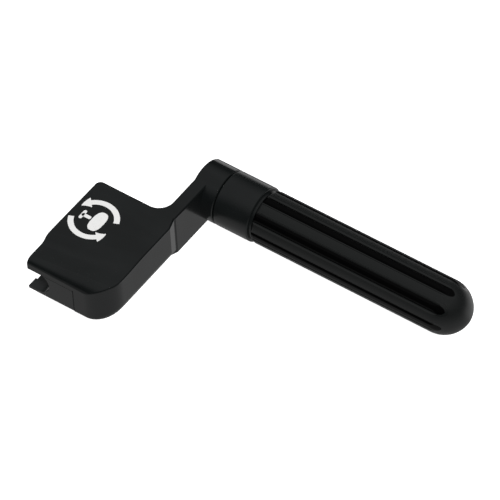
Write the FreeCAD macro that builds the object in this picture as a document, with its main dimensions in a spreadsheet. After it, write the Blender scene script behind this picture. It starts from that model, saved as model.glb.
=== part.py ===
import FreeCAD, Part
import math
import os
import re
import Sketcher

# String winder: a crank with a cupped head that turns a tuning peg, and a handle that spins
# on a steel pin. The body frames have X along the handle from the hub, Y from the head to the
# hub and Z upwards, with the handle's axis at the origin. Every body is then placed so that
# the part's own origin is the middle of its box, at the bottom. Millimetres throughout.

SIZES = [
    ("collar_dia", 16.0, "outside diameter of the hub and the collar"),
    ("hub_long", 7.9, "hub, from the arm's front face to the seam"),
    ("arm_thick", 4.0, "thickness of the arm"),
    ("crank_high", 13.7, "height of the arm and the head"),
    ("near_wall", 18.5, "handle axis to the near wall of the head"),
    ("head_long", 32.8, "length of the head away from the hub"),
    ("head_deep", 26.2, "head, from its mouth to its back"),
    ("back_proud", 0.9, "head's back beyond the arm's back"),
    ("shoulder_long", 3.8, "slanted shoulder between head and arm, along the head"),
    ("shoulder_deep", 1.2, "slanted shoulder between head and arm, across the head"),
    ("corner_near", 1.8, "plan corner at the mouth, near side"),
    ("corner_far", 7.5, "plan corner at the back, far side"),
    ("arm_blend", 4.4, "hollow corner between arm and head"),
    ("belly_round", 4.2, "rounding under the back of the head"),
    ("lip_round", 1.4, "rounding under the far end of the head"),
    ("top_round", 0.65, "rounding round the top face"),
    ("edge_round", 0.5, "rounding under the arm and on the hub's front"),
    ("rim_round", 0.3, "small rounding on the mouth, the seam and the notch"),
    ("wall_side", 1.1, "bottom wall of the peg pocket"),
    ("wall_end", 2.0, "end walls of the peg pocket"),
    ("pocket_high", 10.1, "peg pocket, height inside"),
    ("pocket_deep", 22.2, "peg pocket, depth from the mouth"),
    ("pocket_corner", 0.7, "inside corners of the peg pocket"),
    ("drop_mouth", 1.4, "step down in the top face, at the mouth"),
    ("drop_back", 0.4, "step down in the top face, at the back"),
    ("low_mouth", 6.4, "low part of the top face, from the far end, at the mouth"),
    ("low_back", 8.8, "low part of the top face, from the far end, at the back"),
    ("run_mouth", 4.0, "length of the step, at the mouth"),
    ("run_back", 9.0, "length of the step, at the back"),
    ("brow_mouth", 2.0, "rounding over the far end, at the mouth"),
    ("brow_back", 4.2, "rounding over the far end, at the back"),
    ("brow_turn", 75.0, "how far the rounding over the far end turns down, degrees"),
    ("lip_under", 2.0, "underside of the lip over the pin notch, above the axis"),
    ("puller_long", 15.1, "pin puller, along the mouth's depth"),
    ("puller_flange", 1.2, "pin puller's flange inside the pocket"),
    ("puller_sunk", 0.1, "pin puller's face below the head's end"),
    ("puller_gap", 0.12, "gap around the pin puller"),
    ("notch_half", 3.6, "radius of the pin notch"),
    ("notch_drop", 1.4, "middle of the pin notch, below the axis"),
    ("notch_deep", 7.0, "depth of the pin notch from the mouth"),
    ("pin_dia", 4.0, "pivot pin"),
    ("pin_head_lip", 1.4, "pivot pin's head beyond its shank"),
    ("pin_head_high", 1.4, "pivot pin's head, along the pin"),
    ("pin_tail", 1.6, "pivot pin beyond its ring"),
    ("pin_chamfer", 0.4, "chamfers on the pivot pin"),
    ("head_gap", 0.2, "gap around the pin's head"),
    ("run_gap", 0.05, "running clearance around the pin"),
    ("end_play", 0.15, "end play of the handle on the pin"),
    ("seam_gap", 0.25, "open seam between the hub and the collar"),
    ("washer_thick", 0.5, "both washers"),
    ("washer_lip", 0.8, "both washers beyond the bush's barrel"),
    ("ring_thick", 0.8, "retaining ring"),
    ("ring_lip", 1.6, "retaining ring beyond the pin"),
    ("ring_bite", 0.5, "depth of the ring's groove"),
    ("ring_open", 60.0, "opening of the retaining ring, degrees"),
    ("collar_long", 11.4, "seam to the collar's shoulder"),
    ("collar_round", 0.4, "rounding on the collar's rims"),
    ("neck_long", 0.8, "neck between collar and grip"),
    ("neck_step", 0.5, "neck below the grip's ribs"),
    ("grip_skin", 1.4, "wall of the grip under a flute"),
    ("sleeve_end", 40.0, "seam to the sleeve's end"),
    ("bush_wall", 1.35, "bushes, wall of the barrel"),
    ("bush_long", 8.0, "bushes, behind the flange"),
    ("bush_flange", 0.8, "bushes, thickness of the flange"),
    ("bush_lip", 1.2, "bushes, flange beyond the barrel"),
    ("bore_relief", 0.3, "sleeve's bore between the bushes, around the pin"),
    ("grip_dia", 15.4, "grip over its ribs"),
    ("grip_end", 78.0, "seam to the tip of the grip"),
    ("dome_long", 8.4, "domed end of the grip"),
    ("grip_start_round", 1.0, "rounding at the start of the ribs"),
    ("grip_wall", 3.3, "wall of the grip beyond the sleeve"),
    ("tail_room", 0.5, "room past the retaining ring inside the grip"),
    ("flute_round", 1.6, "radius of a flute's floor"),
    ("flute_deep", 0.9, "depth of a flute"),
    ("rib_round", 0.7, "rounded edges of the ribs"),
    ("rib_count", 8, "ribs around the grip"),
    ("rib_turn", 48.2, "first flute, degrees from Y"),
]
NAMES = [name for name, number, note in SIZES]

# Places that follow from the sizes.
FRONT = "-hub_long"
ARM_BACK = "(arm_thick - hub_long)"
HEAD_BACK = "(arm_thick - hub_long + back_proud)"
MOUTH = "(arm_thick - hub_long + back_proud - head_deep)"
NEAR = "-near_wall"
FAR = "-(near_wall + head_long)"
TOP = "(crank_high / 2)"
FLOOR = "(wall_side - crank_high / 2)"
WASHER_FACE = "(washer_thick + end_play)"
SLEEVE_MOUTH = "(washer_thick + end_play + bush_flange)"
GRIP_START = "(collar_long + neck_long)"
RING_FACE = "(sleeve_end + bush_flange + end_play + washer_thick)"
PIN_HEAD = "(pin_dia / 2 + pin_head_lip)"
BUSH_BORE = "(pin_dia / 2 + run_gap)"
BUSH = "(pin_dia / 2 + run_gap + bush_wall)"
BUSH_RIM = "(pin_dia / 2 + run_gap + bush_wall + bush_lip)"
WASHER = "(pin_dia / 2 + run_gap + bush_wall + washer_lip)"
SLEEVE = "(grip_dia / 2 - flute_deep - grip_skin)"
CLEAR = 5.0
TINY = 0.01

doc = FreeCAD.newDocument("string_winder")
sheet = doc.addObject("Spreadsheet::Sheet", "Sizes")
for row, (name, number, note) in enumerate(SIZES, start=1):
    sheet.set(f"A{row}", name)
    sheet.set(f"B{row}", str(number))
    sheet.set(f"C{row}", note)
    sheet.setAlias(f"B{row}", name)
doc.recompute()


def on_sheet(text):
    """The same expression with each size's name written as a cell of the sheet."""
    return re.sub(r"[a-z][a-z_]+", lambda word: ("Sizes." if word[0] in NAMES else "") + word[0], text)


def value(text):
    """The number that an expression works out to."""
    number = sheet.evalExpression(on_sheet(text))
    return float(getattr(number, "Value", number))


def bind(thing, prop, text):
    thing.setExpression(prop, on_sheet(text))


def new_body(name, turned_by="0", placed=True):
    """An empty body, placed so that the part stands on its origin, or left where it is drawn."""
    body = doc.addObject("PartDesign::Body", name)
    body.Label = name
    if not placed:
        return body
    body.Placement.Rotation = FreeCAD.Rotation(FreeCAD.Vector(1, 0, 0), value(turned_by))
    bind(body, "Placement.Base.x", f"-({MOUTH} + grip_end) / 2")
    bind(body, "Placement.Base.y", "(near_wall + head_long - collar_dia / 2) / 2")
    bind(body, "Placement.Base.z", "collar_dia / 2")
    return body


def origin(body, role):
    return next(item for item in body.Origin.OriginFeatures if item.Role == role)


def new_sketch(body, name, plane, lift="0"):
    """An empty sketch on one of the body's own planes, lifted along the plane's normal."""
    sketch = body.newObject("Sketcher::SketchObject", name)
    sketch.AttachmentSupport = [(origin(body, plane), "")]
    sketch.MapMode = "FlatFace"
    bind(sketch, "AttachmentOffset.Base.z", lift)
    return sketch


def pin_down(sketch, index, across, up):
    """Hold the start of one side at a place given by two expressions."""
    for kind, text, axis in (("DistanceX", across, -2), ("DistanceY", up, -1)):
        if text == "0":
            sketch.addConstraint(Sketcher.Constraint("PointOnObject", index[0], index[1], axis))
        else:
            number = sketch.addConstraint(
                Sketcher.Constraint(kind, -1, 1, index[0], index[1], value(text)))
            bind(sketch, f"Constraints[{number}]", text)


def outline(body, name, plane, corners, arcs=None, lift="0"):
    """A closed sketch through corners, with an arc on the sides that arcs names.

    An arc is a radius, above 0 where the side bends to the left and below 0 to the right.
    """
    arcs = arcs or {}
    sketch = new_sketch(body, name, plane, lift)
    points = [FreeCAD.Vector(value(across), value(up), 0) for across, up in corners]
    ends = []
    for side, start in enumerate(points):
        stop = points[(side + 1) % len(points)]
        if side not in arcs:
            sketch.addGeometry(Part.LineSegment(start, stop))
            ends.append((1, 2))
            continue
        way, radius = arcs[side]
        half = (stop - start) / 2
        rise = math.sqrt(max(value(radius) ** 2 - half.Length ** 2, 0.0))
        left = FreeCAD.Vector(-half.y, half.x, 0).normalize()
        centre = start + half + left * rise * way
        first, last = (start, stop) if way > 0 else (stop, start)
        angles = [math.atan2(point.y - centre.y, point.x - centre.x) for point in (first, last)]
        circle = Part.Circle(centre, FreeCAD.Vector(0, 0, 1), value(radius))
        sketch.addGeometry(Part.ArcOfCircle(circle, *angles))
        ends.append((1, 2) if way > 0 else (2, 1))
    for side, (across, up) in enumerate(corners):
        after = (side + 1) % len(corners)
        joint = Sketcher.Constraint("Coincident", side, ends[side][1], after, ends[after][0])
        sketch.addConstraint(joint)
        pin_down(sketch, (side, ends[side][0]), across, up)
        if side in arcs:
            number = sketch.addConstraint(Sketcher.Constraint("Radius", side, value(arcs[side][1])))
            bind(sketch, f"Constraints[{number}]", arcs[side][1])
    doc.recompute()
    return sketch


def rounded(left, low, right, high, radius):
    """Corners and arcs of a rectangle with rounded corners, for outline."""
    corners = [(f"{left} + {radius}", low), (f"{right} - {radius}", low),
               (right, f"{low} + {radius}"), (right, f"{high} - {radius}"),
               (f"{right} - {radius}", high), (f"{left} + {radius}", high),
               (left, f"{high} - {radius}"), (left, f"{low} + {radius}")]
    return corners, {side: (1, radius) for side in (1, 3, 5, 7)}


def disc(body, name, plane, diameter, lift="0"):
    """A sketch of one circle about the body's origin."""
    sketch = new_sketch(body, name, plane, lift)
    circle = Part.Circle(FreeCAD.Vector(), FreeCAD.Vector(0, 0, 1), value(diameter) / 2)
    sketch.addGeometry(circle)
    sketch.addConstraint(Sketcher.Constraint("Coincident", 0, 3, -1, 1))
    number = sketch.addConstraint(Sketcher.Constraint("Diameter", 0, value(diameter)))
    bind(sketch, f"Constraints[{number}]", diameter)
    return sketch


def grow(body, sketch, length, both_ways=False, back=False):
    """Pad a sketch along its normal, against it, or half of the length each way."""
    pad = body.newObject("PartDesign::Pad", sketch.Name + "_pad")
    pad.Profile = sketch
    pad.Midplane = both_ways
    pad.Reversed = back
    bind(pad, "Length", length)
    return keep(body, pad)


def cut(body, sketch, length, along=False):
    """Pocket a sketch against its normal, or along it, and make sure that it cuts."""
    before = body.Shape.Volume
    pocket = body.newObject("PartDesign::Pocket", sketch.Name + "_cut")
    pocket.Profile = sketch
    pocket.Reversed = along
    bind(pocket, "Length", length)
    keep(body, pocket)
    if body.Shape.Volume >= before:
        raise ValueError(f"{pocket.Name} removes nothing")
    return pocket


def turn(body, sketch, angle="360", groove=False):
    """Revolve a sketch about the body's X axis, as solid or as a cut."""
    before = body.Shape.Volume if groove else 0.0
    kind = "PartDesign::Groove" if groove else "PartDesign::Revolution"
    feature = body.newObject(kind, sketch.Name + "_turn")
    feature.Profile = sketch
    feature.ReferenceAxis = (origin(body, "X_Axis"), [""])
    bind(feature, "Angle", angle)
    keep(body, feature)
    if groove and body.Shape.Volume >= before:
        raise ValueError(f"{feature.Name} removes nothing")
    return feature


def smooth(body, name, radius, chosen):
    """Round the edges of the body's last feature that a test picks."""
    base = body.Tip
    names = [f"Edge{number}" for number, edge in enumerate(base.Shape.Edges, start=1) if chosen(edge)]
    if not names:
        raise ValueError(f"{name} finds no edge")
    fillet = body.newObject("PartDesign::Fillet", name)
    fillet.Base = (base, names)
    bind(fillet, "Radius", radius)
    return keep(body, fillet)


def keep(body, feature):
    """Make a feature the body's last one and work it out."""
    body.Tip = feature
    doc.recompute()
    return feature


def near(number, text):
    return abs(number - value(text)) < TINY


def upright(edge, across, along):
    """True for a straight edge along Z at a place in plan."""
    box = edge.BoundBox
    return (box.XLength < TINY and box.YLength < TINY
            and near(box.XMin, across) and near(box.YMin, along))


def under_head(edge):
    """The radii at the two ends of an edge under the head: widest at the back, or None."""
    box = edge.BoundBox
    thin, wide = value("lip_round"), value("belly_round")
    if not near(box.ZMax, f"-{TOP}"):
        return None
    if near(box.YMin, FAR) and near(box.YMax, FAR):
        return thin, thin
    if near(box.XMin, HEAD_BACK) and near(box.XMax, HEAD_BACK):
        return wide, wide
    if isinstance(edge.Curve, Part.Circle) and near(edge.Curve.Radius, "corner_far"):
        starts_at_end = near(edge.valueAt(edge.FirstParameter).y, FAR)
        return (thin, wide) if starts_at_end else (wide, thin)
    return None


def small_roundings(edge):
    """The radii at the two ends of one of the crank's other edges, or None where it stays sharp."""
    box = edge.BoundBox
    rim, small, over = value("rim_round"), value("edge_round"), value("top_round")
    radius = edge.Curve.Radius if isinstance(edge.Curve, Part.Circle) else 0.0
    level = box.ZLength < TINY
    if near(box.XMin, MOUTH) and near(box.XMax, MOUTH):
        on_near_corner = near(box.YMin, f"{NEAR} - corner_near")
        return None if on_near_corner else (rim, rim)
    if level and near(box.ZMin, f"-{TOP}"):
        in_hollow = box.XMax < value(FRONT) + TINY and box.YMax > value(NEAR) - TINY
        return (small, small) if in_hollow else None
    if level and near(box.ZMin, TOP):
        across_head = near(box.XMin, MOUTH) and near(box.XMax, HEAD_BACK)
        return None if across_head else (over, over)
    if near(radius, "collar_dia / 2") and near(box.XMin, "0"):
        return rim, rim
    if near(radius, "collar_dia / 2") and near(box.XMax, FRONT):
        return small, small
    if box.ZMin < 0 or level:
        return None
    middle = edge.valueAt((edge.FirstParameter + edge.LastParameter) / 2)
    from_centre = math.hypot(middle.x - value(f"{HEAD_BACK} - corner_far"),
                             middle.y - value(f"{FAR} + corner_far"))
    at_back = near(box.XMin, HEAD_BACK) and near(box.XMax, HEAD_BACK)
    over_corner = near(from_centre, "corner_far") and box.XLength > TINY
    over_end = near(box.YMin, FAR) and near(box.YMax, FAR)
    return (over, over) if at_back or over_corner or over_end else None


def rounded_edges(name, body, radii_of):
    """A body with the edges rounded that a rule gives radii for, in the body's own frame."""
    final = doc.addObject("Part::Fillet", name)
    final.Label = name
    final.Base = body
    edges = []
    for number, edge in enumerate(body.Tip.Shape.Edges, start=1):
        radii = radii_of(edge)
        if radii:
            edges.append((number, *radii))
    # Small roundings come first, because the wide ones run out into them at the mouth.
    final.Edges = sorted(edges, key=lambda item: max(item[1:]))
    doc.recompute()
    return final


def make_head():
    """The head as one solid block: its plan, its stepped top and the roundings under it."""
    body = new_body("head_block", placed=False)
    plan = [(MOUTH, NEAR), (MOUTH, FAR), (HEAD_BACK, FAR),
            (HEAD_BACK, "-(near_wall + shoulder_long)"), (f"{HEAD_BACK} - shoulder_deep", NEAR)]
    grow(body, outline(body, "head_plan", "XY_Plane", plan), "crank_high", both_ways=True)
    smooth(body, "far_corner", "corner_far", lambda edge: upright(edge, HEAD_BACK, FAR))
    shape_top(body)
    smooth(body, "near_corner", "corner_near", lambda edge: upright(edge, MOUTH, NEAR))
    return rounded_edges("head_rounded", body, under_head)


def make_crank():
    body = new_body("crank")
    body.BaseFeature = make_head()
    doc.recompute()
    add_arm(body)
    hollow_head(body)
    return body


def top_profile(body, name, place, low, run, drop, brow):
    """What is cut from the top of the head at one depth: an S step, a low flat and a round brow."""
    level = f"({TOP} - {drop})"
    foot = f"({level} - {brow} * tan(brow_turn / 2))"
    start = f"{FAR} + {low} + {run}"
    bend = f"(({run}) ^ 2 + ({drop}) ^ 2) / (4 * {drop})"
    corners = [(start, TOP), (f"{FAR} + {low} + {run} / 2", f"{TOP} - {drop} / 2"),
               (f"{FAR} + {low}", level), (f"{FAR} + {brow}", level), (FAR, foot),
               (f"{FAR} - {CLEAR}", foot), (f"{FAR} - {CLEAR}", f"{TOP} + {CLEAR}"),
               (start, f"{TOP} + {CLEAR}")]
    arcs = {0: (1, bend), 1: (-1, bend), 3: (1, f"{brow} / sin(brow_turn)")}
    return outline(body, name, "YZ_Plane", corners, arcs, lift=place)


def shape_top(body):
    """The top face steps down towards the far end, more at the mouth than at the back."""
    before = body.Shape.Volume
    mouth = top_profile(body, "top_at_mouth", MOUTH, "low_mouth", "run_mouth", "drop_mouth", "brow_mouth")
    back = top_profile(body, "top_at_back", HEAD_BACK, "low_back", "run_back", "drop_back", "brow_back")
    loft = body.newObject("PartDesign::SubtractiveLoft", "top_face")
    loft.Profile = mouth
    loft.Sections = [back]
    loft.Ruled = True
    keep(body, loft)
    if body.Shape.Volume >= before:
        raise ValueError("top_face removes nothing")


def add_arm(body):
    """The arm runs from inside the head to the hub, which is round about the handle's axis."""
    corners = [(FRONT, "0"), (FRONT, "-near_wall - wall_end"),
               (f"{HEAD_BACK} - shoulder_deep - arm_thick / 3", "-(near_wall + shoulder_long)"),
               (ARM_BACK, NEAR), (ARM_BACK, "0")]
    grow(body, outline(body, "arm_plan", "XY_Plane", corners), "crank_high", both_ways=True)
    grow(body, disc(body, "hub_round", "YZ_Plane", "collar_dia", lift=FRONT), "hub_long")
    smooth(body, "arm_hollow", "arm_blend", lambda edge: upright(edge, FRONT, NEAR))
    bore = [(FRONT, "0"), (FRONT, f"{PIN_HEAD} + head_gap"),
            ("pin_head_high - hub_long", f"{PIN_HEAD} + head_gap"),
            ("pin_head_high - hub_long", "pin_dia / 2"), (f"{CLEAR}", "pin_dia / 2"), (f"{CLEAR}", "0")]
    turn(body, outline(body, "pin_bore", "XY_Plane", bore), groove=True)


def hollow_head(body):
    """The peg pocket opens at the mouth, and the far wall has a seat for the pin puller."""
    pocket, arcs = rounded(f"{FAR} + wall_end", FLOOR, f"{NEAR} - wall_end", f"{FLOOR} + pocket_high",
                           "pocket_corner")
    cut(body, outline(body, "peg_pocket", "YZ_Plane", pocket, arcs, lift=MOUTH), "pocket_deep",
        along=True)
    seat = [(MOUTH, f"-{TOP} - {CLEAR}"), (f"{MOUTH} + puller_long", f"-{TOP} - {CLEAR}"),
            (f"{MOUTH} + puller_long", "lip_under"), (MOUTH, "lip_under")]
    cut(body, outline(body, "puller_seat", "XZ_Plane", seat, lift=f"-({FAR})"), "wall_end")


def make_puller():
    """A plate in the far wall with a notch that grips a bridge pin, and a flange behind it."""
    body = new_body("pin_puller_insert")
    right = f"({MOUTH} + puller_long - puller_gap)"
    top = "(lip_under - puller_gap)"
    plate = [(MOUTH, f"-{TOP}"), (right, f"-{TOP}"), (right, top), (MOUTH, top)]
    face = f"-({FAR}) - puller_sunk"
    grow(body, outline(body, "plate", "XZ_Plane", plate, lift=face), "wall_end - puller_sunk", back=True)
    foot = f"({FLOOR} + pocket_corner)"
    flange = [(MOUTH, foot), (f"{right} + puller_flange", foot),
              (f"{right} + puller_flange", top), (MOUTH, top)]
    inner = f"-({FAR}) - wall_end"
    grow(body, outline(body, "flange", "XZ_Plane", flange, lift=inner), "puller_flange", back=True)
    bend = f"({MOUTH} + notch_deep - notch_half)"
    notch = [(f"{MOUTH} - {CLEAR}", "-notch_drop - notch_half"), (bend, "-notch_drop - notch_half"),
             (f"{MOUTH} + notch_deep", "-notch_drop"), (bend, "notch_half - notch_drop"),
             (f"{MOUTH} - {CLEAR}", "notch_half - notch_drop")]
    arcs = {1: (1, "notch_half"), 2: (1, "notch_half")}
    cut(body, outline(body, "pin_notch", "XZ_Plane", notch, arcs, lift=face),
        "wall_end + puller_flange")

    def under_lip(edge):
        box = edge.BoundBox
        low = near(box.ZMax, f"-{TOP}") and near(box.ZMin, f"-{TOP}")
        return low and near(box.YMin, f"{FAR} + puller_sunk") and near(box.YMax, f"{FAR} + puller_sunk")

    smooth(body, "puller_lip", "lip_round", under_lip)
    return body


def make_pin():
    head = "(pin_head_high - hub_long)"
    tail = f"({RING_FACE} + ring_thick + pin_tail)"
    corners = [(FRONT, "0"), (FRONT, f"{PIN_HEAD} - pin_chamfer"),
               (f"{FRONT} + pin_chamfer", PIN_HEAD), (head, PIN_HEAD),
               (head, "pin_dia / 2"), (RING_FACE, "pin_dia / 2"),
               (RING_FACE, "pin_dia / 2 - ring_bite"),
               (f"{RING_FACE} + ring_thick", "pin_dia / 2 - ring_bite"),
               (f"{RING_FACE} + ring_thick", "pin_dia / 2"), (f"{tail} - pin_chamfer", "pin_dia / 2"),
               (tail, "pin_dia / 2 - pin_chamfer"), (tail, "0")]
    return turned("pivot_pin", corners)


def turned(name, corners, arcs=None, angle="360", turned_by="0"):
    """A body made by turning one outline about the handle's axis."""
    body = new_body(name, turned_by)
    turn(body, outline(body, f"{name}_profile", "XY_Plane", corners, arcs), angle)
    return body


def ring_section(start, thick, inner, outer):
    return [(start, inner), (f"{start} + {thick}", inner), (f"{start} + {thick}", outer), (start, outer)]


def bush_section(face, side):
    """A flanged bush: its flange starts at face, and its barrel runs on side 1 or back -1."""
    sign = "+" if side > 0 else "-"
    end = f"{face} {sign} (bush_flange + bush_long)"
    behind = f"{face} {sign} bush_flange"
    return [(face, BUSH_BORE), (end, BUSH_BORE), (end, BUSH), (behind, BUSH),
            (behind, BUSH_RIM), (face, BUSH_RIM)]


def make_collar():
    """The collar, its neck and the sleeve inside the grip, bored for the two bushes."""
    relief = "(pin_dia / 2 + bore_relief)"
    front_seat = f"({SLEEVE_MOUTH} + bush_long)"
    rear_seat = "(sleeve_end - bush_long)"
    rim = "(collar_dia / 2 - collar_round)"
    neck = "(grip_dia / 2 - neck_step)"
    corners = [("seam_gap", f"{BUSH_RIM} + head_gap"), (SLEEVE_MOUTH, f"{BUSH_RIM} + head_gap"),
               (SLEEVE_MOUTH, BUSH), (front_seat, BUSH), (front_seat, relief), (rear_seat, relief),
               (rear_seat, BUSH), ("sleeve_end", BUSH), ("sleeve_end", SLEEVE),
               (GRIP_START, SLEEVE), (GRIP_START, neck), ("collar_long", neck), ("collar_long", rim),
               ("collar_long - collar_round", "collar_dia / 2"),
               ("seam_gap + collar_round", "collar_dia / 2"), ("seam_gap", rim)]
    arcs = {12: (1, "collar_round"), 14: (1, "collar_round")}
    return turned("handle_collar", corners, arcs)


def flute_section(body):
    """One flute: a hollow floor between two rounded rib edges, open outwards."""
    outer = "(grip_dia / 2)"
    centre = f"({outer} - flute_deep + flute_round)"
    edge = f"({outer} - rib_round)"
    spread = f"acos(({edge} ^ 2 + {centre} ^ 2 - (flute_round + rib_round) ^ 2) / (2 * {edge} * {centre}))"
    share = "(flute_round / (flute_round + rib_round))"
    crest = (f"{outer} * cos({spread})", f"{outer} * sin({spread})")
    foot = (f"{centre} + ({edge} * cos({spread}) - {centre}) * {share}",
            f"{edge} * sin({spread}) * {share}")
    corners = [crest, foot, (foot[0], f"-({foot[1]})"), (crest[0], f"-({crest[1]})"),
               (f"{outer} + {CLEAR}", f"-({crest[1]})"), (f"{outer} + {CLEAR}", crest[1])]
    arcs = {0: (1, "rib_round"), 1: (-1, "flute_round"), 2: (1, "rib_round")}
    return outline(body, "flute", "YZ_Plane", corners, arcs, lift=GRIP_START)


def make_grip():
    """A ribbed tube with a domed end, pushed over the sleeve."""
    dome_start = "(grip_end - dome_long)"
    dome = "((dome_long ^ 2 + (grip_dia / 2) ^ 2) / grip_dia)"
    hollow = "(grip_dia / 2 - grip_wall)"
    step = f"({RING_FACE} + ring_thick + tail_room)"
    corners = [(GRIP_START, SLEEVE), (step, SLEEVE), (step, hollow), (dome_start, hollow),
               (f"{dome_start} + {hollow}", "0"), ("grip_end", "0"), (dome_start, "grip_dia / 2"),
               (GRIP_START, "grip_dia / 2")]
    arcs = {3: (-1, hollow), 5: (1, dome)}
    body = turned("grip_shell", corners, arcs, turned_by="rib_turn")

    def rib_start(edge):
        box = edge.BoundBox
        return near(box.XMin, GRIP_START) and near(box.XMax, GRIP_START) and near(box.YMax, "grip_dia / 2")

    smooth(body, "rib_starts", "grip_start_round", rib_start)
    flute = cut(body, flute_section(body), f"grip_end - {GRIP_START}", along=True)
    before = body.Shape.Volume
    pattern = body.newObject("PartDesign::PolarPattern", "flutes")
    pattern.Originals = [flute]
    pattern.Axis = (origin(body, "X_Axis"), [""])
    pattern.Angle = 360
    bind(pattern, "Occurrences", "rib_count")
    keep(body, pattern)
    if body.Shape.Volume >= before:
        raise ValueError("flutes are not repeated")
    return body


nodes = [
    rounded_edges("crank_body", make_crank(), small_roundings),
    make_puller(),
    make_pin(),
    turned("thrust_washer", ring_section("0", "washer_thick", BUSH_BORE, WASHER)),
    make_collar(),
    turned("front_bush", bush_section(WASHER_FACE, 1)),
    turned("rear_bush", bush_section("(sleeve_end + bush_flange)", -1)),
    turned("end_washer", ring_section("(sleeve_end + bush_flange + end_play)", "washer_thick",
                                      BUSH_BORE, WASHER)),
    turned("retaining_ring", ring_section(RING_FACE, "ring_thick", "pin_dia / 2 - ring_bite",
                                          "pin_dia / 2 + ring_lip"), angle="360 - ring_open"),
    make_grip(),
]

for item in doc.Objects:
    if "Invalid" in item.State or "Error" in item.State:
        raise ValueError(f"{item.Name} failed: {item.State}")
for node in nodes:
    if node.Shape.isNull() or not node.Shape.isValid() or not node.Shape.Solids:
        raise ValueError(f"{node.Label} has no valid solid")

os.makedirs("parts", exist_ok=True)
for node in nodes:
    node.Shape.exportStep(f"parts/{node.Label}.step")
    print(node.Label, len(node.Shape.Solids), round(node.Shape.Volume, 2), node.Shape.BoundBox)
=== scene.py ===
import math
import bpy
import numpy as np
from mathutils import Matrix, Vector


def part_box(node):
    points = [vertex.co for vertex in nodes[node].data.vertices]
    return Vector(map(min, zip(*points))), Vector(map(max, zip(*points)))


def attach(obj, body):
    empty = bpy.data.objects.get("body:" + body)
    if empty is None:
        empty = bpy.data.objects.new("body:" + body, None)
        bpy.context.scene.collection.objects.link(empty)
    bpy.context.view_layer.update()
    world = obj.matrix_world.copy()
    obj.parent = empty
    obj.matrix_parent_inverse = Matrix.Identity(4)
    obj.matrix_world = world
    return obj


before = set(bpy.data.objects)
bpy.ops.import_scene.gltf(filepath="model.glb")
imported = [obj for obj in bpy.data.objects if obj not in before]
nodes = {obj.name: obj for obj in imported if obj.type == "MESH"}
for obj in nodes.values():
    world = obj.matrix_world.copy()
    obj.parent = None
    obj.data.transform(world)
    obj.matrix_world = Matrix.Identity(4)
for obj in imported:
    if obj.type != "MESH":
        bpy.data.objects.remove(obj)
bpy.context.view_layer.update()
MM = 0.001

# Places on the winder, in metres, taken from its nodes.
crank_low, crank_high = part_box("crank_body")
collar_low, collar_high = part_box("handle_collar")
grip_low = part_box("grip_shell")[0]
AXIS_Y = (collar_low[1] + collar_high[1]) / 2
AXIS_Z = (collar_low[2] + collar_high[2]) / 2
MOUTH = crank_low[0]
FAR_END = crank_low[1]
SEAM = crank_high[0]
ARM_HALF = 6.85 * MM
HEAD_TOP = AXIS_Z + ARM_HALF
PULLER_BACK = MOUTH + 15.04 * MM
PULLER_TOP = AXIS_Z + 1.94 * MM


class Signal:
    """A number that changes over a surface. Sums and products of signals add Math nodes."""

    def __init__(self, board, socket):
        self.board = board
        self.socket = socket

    def _math(self, operation, *values):
        return self.board.add("ShaderNodeMath", {"operation": operation}, dict(enumerate(values)))

    def __add__(self, other):
        return self._math("ADD", self, other)

    def __sub__(self, other):
        return self._math("SUBTRACT", self, other)

    def __rsub__(self, other):
        return self._math("SUBTRACT", other, self)

    def __mul__(self, other):
        return self._math("MULTIPLY", self, other)

    def __pow__(self, other):
        return self._math("POWER", self, other)

    __radd__ = __add__
    __rmul__ = __mul__

    def sine(self):
        return self._math("SINE", self)

    def cosine(self):
        return self._math("COSINE", self)

    def angle_to(self, other):
        """The angle whose tangent is this over the other."""
        return self._math("ARCTAN2", self, other)

    def wrapped(self, pitch):
        """The distance to the nearest multiple of the pitch, below or above 0."""
        return self._math("FLOORED_MODULO", self + pitch / 2, pitch) - pitch / 2

    def size(self):
        return self._math("ABSOLUTE", self)

    def rise(self, start, stop):
        """0 before start and 1 after stop, with a smooth S between; start may be the greater."""
        settings = {"interpolation_type": "SMOOTHSTEP", "clamp": True}
        low, high = (start, stop) if start < stop else (stop, start)
        share = self.board.add("ShaderNodeMapRange", settings, {0: self, 1: low, 2: high})
        return share if start < stop else 1 - share


class Board:
    """The node tree of a finish or of the studio's surroundings."""

    def __init__(self, tree):
        tree.nodes.clear()
        self.tree = tree

    def add(self, kind, settings=None, sockets=None, out=0):
        """A node of one kind: first its settings, then the values or links of its sockets."""
        node = self.tree.nodes.new(kind)
        for name, setting in (settings or {}).items():
            if name == "stops":
                ramp = node.color_ramp
                while len(ramp.elements) < len(setting):
                    ramp.elements.new(1.0)
                for stop, (place, grey) in zip(ramp.elements, setting):
                    stop.position = place
                    stop.color = (grey, grey, grey, 1.0)
            else:
                setattr(node, name, setting)
        for name, given in (sockets or {}).items():
            if isinstance(given, Signal):
                self.tree.links.new(given.socket, node.inputs[name])
            else:
                node.inputs[name].default_value = given
        return Signal(self, node.outputs[out])

    def place(self):
        """Where a point is on the winder, in metres: its own three numbers and the vector."""
        vector = self.add("ShaderNodeTexCoord", out="Object")
        parts = [self.add("ShaderNodeSeparateXYZ", None, {0: vector}, out=axis) for axis in range(3)]
        return parts + [vector]

    def noise(self, vector, size_mm, detail=2.0, stretch=(1, 1, 1)):
        """Soft cloudy noise with lumps of about one size, longer along an axis with a low stretch."""
        scaled = self.add("ShaderNodeVectorMath", {"operation": "MULTIPLY"}, {0: vector, 1: stretch})
        return self.add("ShaderNodeTexNoise", None,
                        {"Vector": scaled, "Scale": 1 / (size_mm * MM), "Detail": detail})

    def blend(self, share, first, second):
        """A colour between two colours."""
        settings = {"data_type": "RGBA", "blend_type": "MIX"}
        return self.add("ShaderNodeMix", settings, {"Factor": share, 6: first, 7: second}, out=2)


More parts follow.
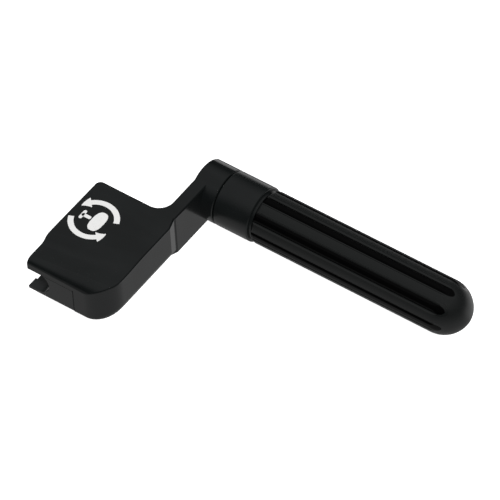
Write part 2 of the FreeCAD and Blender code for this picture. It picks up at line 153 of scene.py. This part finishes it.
class Finish(Board):
    """A material of the winder around one Principled shader."""

    def __init__(self, name, **constants):
        self.material = bpy.data.materials.new(name)
        self.material.use_nodes = True
        super().__init__(self.material.node_tree)
        self.shader = self.principled(constants)
        self.ending = self.tree.nodes.new("ShaderNodeOutputMaterial")
        self.tree.links.new(self.shader.outputs[0], self.ending.inputs[0])

    def principled(self, constants):
        """A Principled shader with the sockets set that the words name."""
        shader = self.tree.nodes.new("ShaderNodeBsdfPrincipled")
        for words, constant in constants.items():
            socket = words.replace("_", " ").title().replace("Ior", "IOR")
            shader.inputs[socket].default_value = constant
        return shader

    def under(self, share, **constants):
        """A second surface that shows by its share, in place of the first."""
        second = self.principled(constants)
        first = Signal(self, self.shader.outputs[0])
        mixed = self.add("ShaderNodeMixShader", None, {0: share, 1: first, 2: Signal(self, second.outputs[0])})
        self.tree.links.new(mixed.socket, self.ending.inputs[0])

    def feed(self, socket, signal):
        self.tree.links.new(signal.socket, self.shader.inputs[socket])

    def relief(self, height, depth_mm):
        """Bump from a height, of which 1 stands for a real depth."""
        bump = self.add("ShaderNodeBump", None, {"Strength": 1.0, "Distance": depth_mm * MM, "Height": height})
        self.feed("Normal", bump)


def moulded_plastic(name, colour, rough, rubbed, grain_deep=0.0006):
    """Black moulded plastic: faint flow marks, fine grain, hairline scratches, dust, rubbed edges, painted
    shade at the puller's gap.

    rubbed is a function of a finish, X and the place, and gives 1 where hands or strings wear it.
    """
    finish = Finish(name, ior=1.46)
    x, y, z, spot = finish.place()
    flow = finish.noise(spot, 6.0, 3.0, (0.45, 1.0, 1.0))
    grain = finish.noise(spot, 0.12, 2.0)
    hair = finish.noise(spot, 0.35, 2.0, (0.06, 1.0, 1.0)).rise(0.66, 0.74)
    cross = finish.noise(spot, 0.4, 2.0, (1.0, 0.07, 0.8)).rise(0.68, 0.76)
    scratches = hair + cross
    patches = finish.noise(spot, 9.0, 2.0).rise(0.42, 0.66)
    marks = scratches * patches
    specks = finish.noise(spot, 0.16, 0.0).rise(0.79, 0.82) * patches
    wear = rubbed(finish, x, spot)
    worn = tuple(part * 1.6 + 0.002 for part in colour)
    base = finish.blend(flow.rise(0.3, 0.75) * 0.4 + wear * 0.5, (*colour, 1), (*worn, 1))
    dusted = finish.blend(specks * 0.1, base, (0.22, 0.21, 0.2, 1))
    # Painted shade: a near-black, rougher line along the gap round the pin puller.
    gap_shade = shade_at_puller_gap(x, y, z)
    finish.feed("Base Color", finish.blend(gap_shade, dusted, (0.0005, 0.0005, 0.0005, 1)))
    uneven = flow * 0.05 + marks * 0.06 + wear * 0.12 + gap_shade * 0.5
    finish.feed("Roughness", uneven + (rough - 0.025))
    finish.relief(grain + scratches * -0.5 + flow * 3.0, grain_deep)
    return finish.material


def shade_at_puller_gap(x, y, z):
    """1 along the gap round the pin puller, on the head's far end, where shade is painted as a dark line."""
    at_end = y.rise(FAR_END + 1.2 * MM, FAR_END + 0.8 * MM)
    upright = (x - PULLER_BACK).size().rise(0.3 * MM, 0.16 * MM) * (z - PULLER_TOP).rise(0.3 * MM, 0.1 * MM)
    level = (z - PULLER_TOP).size().rise(0.26 * MM, 0.12 * MM) * (x - PULLER_BACK).rise(0.3 * MM, 0.1 * MM)
    return (upright + level) * at_end * 0.85


def rim_of_head(finish, x, spot):
    """Rubbed at the mouth's rim and round the notch, in uneven patches."""
    uneven = finish.noise(spot, 1.2, 3.0).rise(0.35, 0.7)
    return x.rise(MOUTH + 1.3 * MM, MOUTH) * uneven


def rims_of_collar(finish, x, spot):
    """Rubbed on the rim beside the seam and on the shoulder over the grip."""
    middle = (SEAM + grip_low[0]) / 2
    half = (grip_low[0] - SEAM) / 2
    uneven = finish.noise(spot, 1.5, 3.0).rise(0.45, 0.8)
    return (x - middle).size().rise(half - 0.6 * MM, half - 0.1 * MM) * uneven * 0.5


FLUTE_RADIUS = 1.6 * MM
FLUTE_AXIS = 8.4 * MM
FIRST_FLUTE = math.radians(48.2)
FLUTE_PITCH = math.radians(45)


def ribbed_plastic():
    """The grip: satin ribs with polished edges, and duller flutes painted a deeper black than the ribs, as
    painted shade.

    A point's distance from the axis of the nearest flute tells where it is: the flute's radius
    down in the flute, a little more on the rounded edge of a rib, and more still on a rib.
    """
    finish = Finish("grip_plastic", ior=1.46)
    x, y, z, spot = finish.place()
    along, rise = y - AXIS_Y, z - AXIS_Z
    radius = (along ** 2 + rise ** 2) ** 0.5
    turn = (rise.angle_to(along) - FIRST_FLUTE).wrapped(FLUTE_PITCH)
    from_flute = ((radius * turn.sine()) ** 2 + (radius * turn.cosine() - FLUTE_AXIS) ** 2) ** 0.5
    out_of_flute = from_flute.rise(FLUTE_RADIUS + 0.01 * MM, FLUTE_RADIUS + 0.10 * MM)
    on_rib = from_flute.rise(FLUTE_RADIUS + 0.40 * MM, FLUTE_RADIUS + 0.65 * MM)
    flow = finish.noise(spot, 7.0, 3.0, (0.3, 1.0, 1.0))
    fine = finish.noise(spot, 0.09, 2.0)
    hair = finish.noise(spot, 0.3, 2.0, (0.05, 1.0, 1.0)).rise(0.64, 0.74)
    cross = finish.noise(spot, 0.35, 2.0, (1.0, 0.1, 0.1)).rise(0.68, 0.76)
    patches = finish.noise(spot, 8.0, 2.0).rise(0.45, 0.65)
    handled = (hair + cross) * patches * out_of_flute
    specks = finish.noise(spot, 0.22, 1.0).rise(0.72, 0.76) * (1 - out_of_flute)
    # Painted shade: the flutes get a near-black colour, the ribs a dark grey.
    black = finish.blend(out_of_flute, (0.0005, 0.0005, 0.0006, 1), (0.0086, 0.0095, 0.0095, 1))
    scuffed = finish.blend(handled * 0.35, black, (0.024, 0.026, 0.026, 1))
    finish.feed("Base Color", finish.blend(specks * 0.12, scuffed, (0.2, 0.2, 0.19, 1)))
    finish.feed("Roughness", on_rib * 0.24 + flow * 0.06 + handled * 0.06 + specks * 0.2 + 0.11)
    finish.relief(fine * (on_rib * 0.8 + 0.2) + handled * -0.6 + flow * 2.0, 0.0008)
    # Painted shade: in the flutes a near-black surface with little shine shows in place of the first.
    finish.under(1 - out_of_flute, base_color=(0.0006, 0.0006, 0.0007, 1), roughness=0.35, ior=1.46,
                 specular_ior_level=0.12)
    return finish.material


def turned_metal(name, colour, rough, pitch_mm, ring_deep):
    """Turned metal: fine rings about the handle's axis and along it, and a few darker stains."""
    finish = Finish(name, metallic=1.0)
    x, y, z, spot = finish.place()
    radius = ((y - AXIS_Y) ** 2 + (z - AXIS_Z) ** 2) ** 0.5
    turns = ((radius + x) * (2 * math.pi / (pitch_mm * MM))).sine()
    stain = finish.noise(spot, 1.4, 3.0).rise(0.5, 0.72)
    dull = tuple(part * 0.55 for part in colour)
    finish.feed("Base Color", finish.blend(stain * 0.6, (*colour, 1), (*dull, 1)))
    finish.feed("Roughness", stain * 0.15 + turns * 0.03 + rough)
    finish.relief(turns * 0.5 + finish.noise(spot, 0.2, 2.0), ring_deep)
    return finish.material


def pale_nylon():
    """Natural nylon: milky, with faint cloudy colour and turning marks."""
    finish = Finish("natural_nylon", subsurface_weight=0.15, subsurface_scale=0.001)
    x, y, z, spot = finish.place()
    cloud = finish.noise(spot, 1.5, 3.0).rise(0.3, 0.7)
    finish.feed("Base Color", finish.blend(cloud, (0.84, 0.83, 0.78, 1), (0.72, 0.70, 0.62, 1)))
    finish.feed("Roughness", cloud * 0.1 + 0.38)
    finish.relief((x * (2 * math.pi / (0.15 * MM))).sine() * 0.4 + cloud, 0.003)
    return finish.material


def pad_print():
    """White pad-printed ink: a little uneven in cover, with pinholes that show the black under it."""
    finish = Finish("white_print", ior=1.48)
    x, y, z, spot = finish.place()
    thin = finish.noise(spot, 0.5, 3.0).rise(0.56, 0.8)
    holes = finish.noise(spot, 0.12, 1.0).rise(0.72, 0.78)
    ink = finish.blend(thin * 0.4, (0.84, 0.84, 0.83, 1), (0.55, 0.55, 0.55, 1))
    finish.feed("Base Color", finish.blend(holes * 0.7, ink, (0.05, 0.05, 0.05, 1)))
    finish.feed("Roughness", thin * 0.1 + 0.42)
    finish.relief(finish.noise(spot, 0.2, 2.0) - holes, 0.004)
    return finish.material


crank_black = moulded_plastic("crank_plastic", (0.0060, 0.0071, 0.0072), 0.15, rim_of_head)
puller_black = moulded_plastic("puller_plastic", (0.0112, 0.0125, 0.0126), 0.22, rim_of_head)
collar_black = moulded_plastic("collar_plastic", (0.0068, 0.0080, 0.0081), 0.24, rims_of_collar,
                               grain_deep=0.0010)
grip_black = ribbed_plastic()
steel = turned_metal("turned_steel", (0.62, 0.61, 0.59), 0.24, 0.11, 0.002)
spring_steel = turned_metal("spring_steel", (0.30, 0.29, 0.28), 0.34, 0.2, 0.003)
nylon = pale_nylon()
FINISHES = {
    "crank_body": crank_black, "pin_puller_insert": puller_black, "pivot_pin": steel,
    "thrust_washer": nylon, "handle_collar": collar_black, "front_bush": nylon, "rear_bush": nylon,
    "end_washer": steel, "retaining_ring": spring_steel, "grip_shell": grip_black,
}
for name, material in FINISHES.items():
    mesh = nodes[name].data
    mesh.materials.clear()
    mesh.materials.append(material)


def ribbon(path, half_width):
    """A grid of points: a flat ribbon carried along a path.

    Row i is the path's point i, and column j goes from right to left across it, so a point is
    the path plus its left normal times the half width there times a number from -1 to 1.
    """
    ahead = np.gradient(path, axis=0)
    ahead /= np.linalg.norm(ahead, axis=1, keepdims=True)
    left = np.stack([-ahead[:, 1], ahead[:, 0]], axis=1)
    across = np.linspace(-1, 1, 5)
    return path[:, None, :] + left[:, None, :] * (half_width[:, None] * across)[:, :, None]


def slab(grid, low, high):
    """Points and faces of a closed slab: the grid at two heights, and walls round its border."""
    rows, columns = grid.shape[:2]
    count = rows * columns
    flat = grid.reshape(count, 2)
    points = np.concatenate([np.column_stack([flat, np.full(count, high)]),
                             np.column_stack([flat, np.full(count, low)])])
    at = np.arange(count).reshape(rows, columns)
    top = np.stack([at[:-1, :-1], at[1:, :-1], at[1:, 1:], at[:-1, 1:]], axis=-1).reshape(-1, 4)
    border = np.concatenate([at[:-1, 0][::-1] + columns, at[0, :-1], at[:-1, -1], at[-1, 1:][::-1]])
    after = np.concatenate([at[:-1, 0][::-1], at[0, 1:], at[1:, -1], at[-1, :-1][::-1]])
    walls = np.stack([border, after, after + count, border + count], axis=1)
    return points, np.concatenate([top, top[:, ::-1] + count, walls])


def piece(name, parts, material, body):
    """One mesh object from several closed parts, which rides on a body."""
    starts = np.cumsum([0] + [len(points) for points, faces in parts[:-1]])
    points = np.concatenate([points for points, faces in parts])
    faces = np.concatenate([faces + start for (_, faces), start in zip(parts, starts)])
    mesh = bpy.data.meshes.new(name)
    mesh.from_pydata(points.tolist(), [], faces.tolist())
    mesh.materials.append(material)
    mesh.update()
    made = bpy.data.objects.new(name, mesh)
    bpy.context.scene.collection.objects.link(made)
    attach(made, body)
    return made


def turning_arrow(centre, radius, start, sweep, half_width, head_half, head_sweep):
    """An arrow bent round a circle: the angle goes from start by sweep, and the head narrows evenly."""
    shaft = np.linspace(0, 1 - head_sweep / sweep, 48)
    head = np.linspace(1 - head_sweep / sweep + 0.002, 1, 12)
    angle = np.radians(start + sweep * np.concatenate([shaft, head]))
    path = centre + radius * np.stack([np.cos(angle), np.sin(angle)], axis=1)
    half = np.concatenate([np.full(48, half_width), np.linspace(head_half, head_half * 0.03, 12)])
    return ribbon(path, half)


def button_shape(centre, long_half, wide_half, power):
    """A tuning button seen flat: along Y, the half width follows (1 - |t|^power)^(1/power)."""
    t = np.sin(np.linspace(-1, 1, 41) * math.pi / 2 * 0.985)
    path = centre + np.stack([np.zeros_like(t), t * long_half], axis=1)
    return ribbon(path, wide_half * (1 - np.abs(t) ** power) ** (1 / power))


def bar(start, stop, half_width):
    """A straight bar with rounded ends: the half width follows a circle near each end."""
    t = (1 - np.cos(np.linspace(0.06, math.pi - 0.06, 25))) / 2
    path = start + (stop - start) * t[:, None]
    from_end = np.minimum(t, 1 - t) * np.linalg.norm(stop - start)
    fall = np.clip(from_end / half_width, 0, 1)
    return ribbon(path, half_width * np.sqrt(1 - (1 - fall) ** 2))


print_centre = np.array([-46.1, -9.35]) * MM
ink_low, ink_high = HEAD_TOP - 0.01 * MM, HEAD_TOP + 0.02 * MM
marks = [
    turning_arrow(print_centre, 6.2 * MM, 20, 138, 0.8 * MM, 1.75 * MM, 26),
    turning_arrow(print_centre, 6.2 * MM, 200, 138, 0.8 * MM, 1.75 * MM, 26),
    button_shape(print_centre + np.array([1.3, 0]) * MM, 3.5 * MM, 1.9 * MM, 2.6),
    bar(print_centre + np.array([-0.9, 0]) * MM, print_centre + np.array([-3.9, 0]) * MM, 0.55 * MM),
    bar(print_centre + np.array([-3.6, -1.6]) * MM, print_centre + np.array([-3.6, 1.6]) * MM, 0.5 * MM),
]
piece("turning_print", [slab(mark, ink_low, ink_high) for mark in marks], pad_print(), "crank")

# The studio: a pale floor, grey surroundings with bright bands low on the far side, and softboxes.
floor_mesh = bpy.data.meshes.new("studio_floor")
reach = 4.0
floor_mesh.from_pydata([(-reach, -reach, 0), (reach, -reach, 0), (reach, reach, 0), (-reach, reach, 0)],
                       [], [(0, 1, 2, 3)])
floor = bpy.data.objects.new("studio_floor", floor_mesh)
bpy.context.scene.collection.objects.link(floor)
floor_paint = Finish("floor_paint", base_color=(0.8, 0.8, 0.8, 1), roughness=0.9, specular_ior_level=0.0,
                     emission_color=(1, 1, 1, 1), emission_strength=0.97)
floor_mesh.materials.append(floor_paint.material)
floor.visible_glossy = False  # the winder is lit from below by the softer surroundings instead
floor.visible_diffuse = False

world = bpy.data.worlds.new("studio")
world.use_nodes = True
bpy.context.scene.world = world
studio = Board(world.node_tree)
direction = studio.add("ShaderNodeTexCoord", out="Generated")
BELOW = [(0.0, 0.36), (0.3, 0.40), (0.5, 0.40), (0.8, 0.22), (1.0, 0.16)]
sight = [studio.add("ShaderNodeSeparateXYZ", None, {0: direction}, out=axis) for axis in range(3)]
down = studio.add("ShaderNodeValToRGB", {"stops": BELOW}, {0: sight[2] + 1.0})
far_left = sight[0].rise(-0.12, -0.35) * sight[1].rise(-0.1, 0.3)
lit_edge = studio.blend(far_left, down, (0.85, 0.85, 0.85, 1))
unlit = studio.blend(far_left * sight[2].rise(-0.3, -0.45), lit_edge, (0.15, 0.15, 0.15, 1))
far_side = sight[1].rise(0.1, 0.5) * sight[0].rise(-0.3, 0.0)
low_band = sight[2].rise(-0.77, -0.60)
pale_table = studio.blend(far_side * low_band, unlit, (0.95, 0.95, 0.95, 1))
ABOVE = [(0.0, 0.005), (0.4, 0.01), (0.62, 0.16), (0.8, 0.28), (1.0, 0.28)]
up_there = studio.add("ShaderNodeValToRGB", {"stops": ABOVE}, {0: sight[2]})
grey = studio.blend(sight[2].rise(-0.015, 0.015), pale_table, up_there)
seen = studio.add("ShaderNodeLightPath", out="Is Camera Ray")
shown = studio.blend(seen, grey, (1, 1, 1, 1))
background = studio.add("ShaderNodeBackground", None, {"Color": shown, "Strength": 1.0})
surround = studio.tree.nodes.new("ShaderNodeOutputWorld")
studio.tree.links.new(background.socket, surround.inputs["Surface"])


def softbox(name, bearing, elevation, away, wide, high, watts):
    """A rectangular light that faces the winder from a bearing round it and an elevation, in degrees."""
    lamp = bpy.data.lights.new(name, "AREA")
    lamp.shape = "RECTANGLE"
    lamp.size = wide
    lamp.size_y = high
    lamp.energy = watts
    flat = math.cos(math.radians(elevation))
    toward = Vector((flat * math.sin(math.radians(bearing)), -flat * math.cos(math.radians(bearing)),
                     math.sin(math.radians(elevation))))
    holder = bpy.data.objects.new(name, lamp)
    holder.location = Vector((0, 0, AXIS_Z)) + toward * away
    holder.rotation_euler = toward.to_track_quat("Z", "Y").to_euler()
    holder.visible_glossy = False  # the surroundings alone are mirrored in the plastic
    bpy.context.scene.collection.objects.link(holder)
    return holder


softbox("key_softbox", 57, 49, 1.5, 0.5, 0.5, 18.0)
softbox("fill_softbox", -97, 32, 1.5, 0.5, 0.4, 11.0)

camera_data = bpy.data.cameras.new("catalogue_camera")
camera_data.lens = 546.9
camera_data.sensor_width = 36.0
camera_data.clip_end = 20.0
camera = bpy.data.objects.new("catalogue_camera", camera_data)
bpy.context.scene.collection.objects.link(camera)
right = Vector((0.8131, 0.5805, -0.0438)).normalized()
ahead = Vector((-0.4111, 0.5192, -0.7493)).normalized()
up = right.cross(ahead).normalized()
turned = Matrix((right, up, -ahead)).transposed()
camera.matrix_world = Matrix.Translation((0.8205, -1.03805, 1.5198)) @ turned.to_4x4()
bpy.context.scene.camera = camera
bpy.context.scene.view_settings.view_transform = "Standard"
